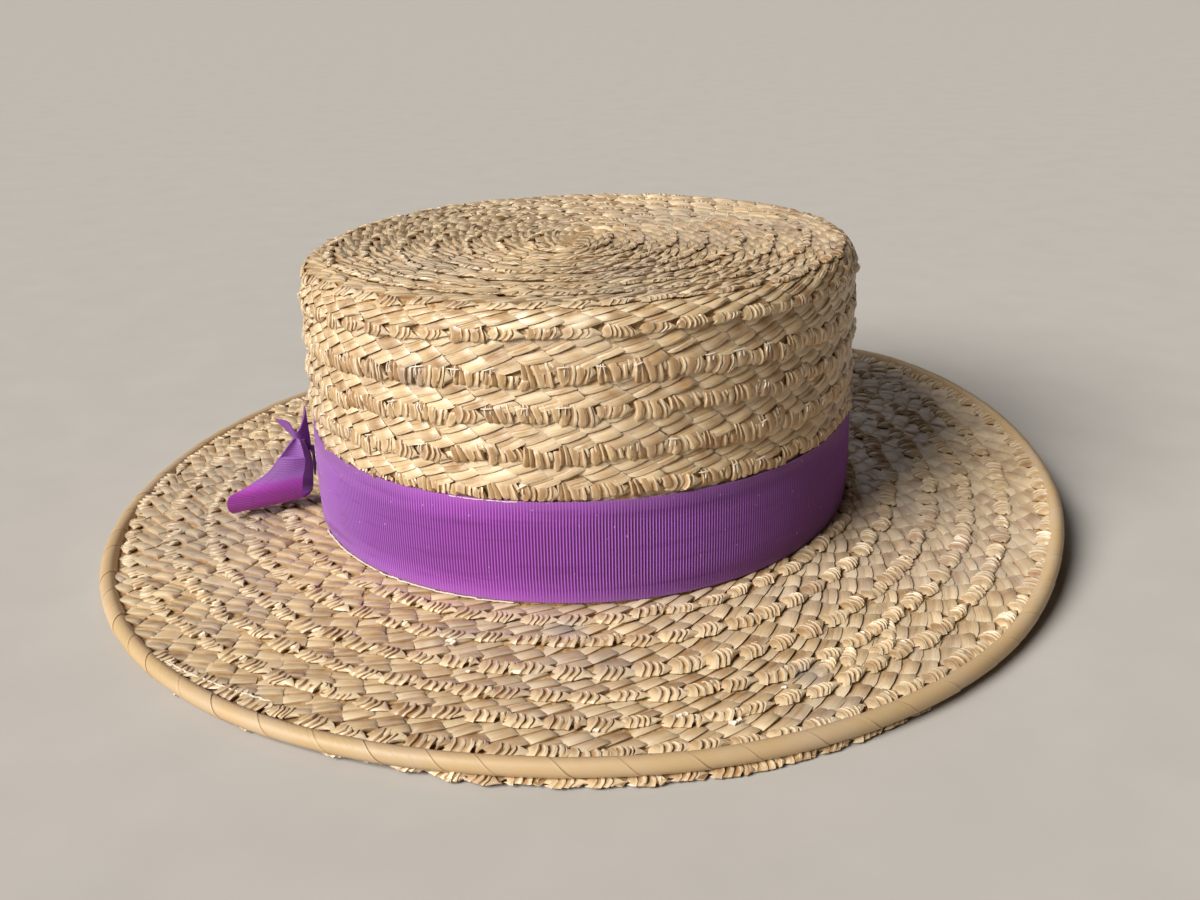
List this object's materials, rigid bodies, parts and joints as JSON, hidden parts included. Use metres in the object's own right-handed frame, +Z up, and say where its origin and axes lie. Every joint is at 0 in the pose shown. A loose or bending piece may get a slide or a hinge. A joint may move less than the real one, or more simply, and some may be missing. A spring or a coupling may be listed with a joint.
{
  "type": "straw boater hat",
  "caption": "Straw boater: flat-topped oval crown of sewn braid, wide ridged brim with a bound edge, and a ribbon band with a small bow.",
  "frame": {"origin": "on the floor below the middle of the hat, which rests on the edge of its brim", "axes": "+Z up through the crown; Y along the long way of the oval; the bow stands on the -X side"},
  "size_m": [0.3078, 0.3296, 0.0938],
  "materials": {
    "straw_braid": "plaited straw, satin, dusty on the tip and the left of the brim",
    "straw_binding": "folded straw strip, satin",
    "ribbon": "ribbed silk ribbon, faded where the light reaches it"
  },
  "bodies": {
    "root": {"crown": "straw_braid", "brim": "straw_braid", "under_edge_braid": "straw_braid", "brim_binding": "straw_binding", "hat_band": "ribbon", "bow_loop": "ribbon", "bow_tails": "ribbon"}
  },
  "joints": []
}
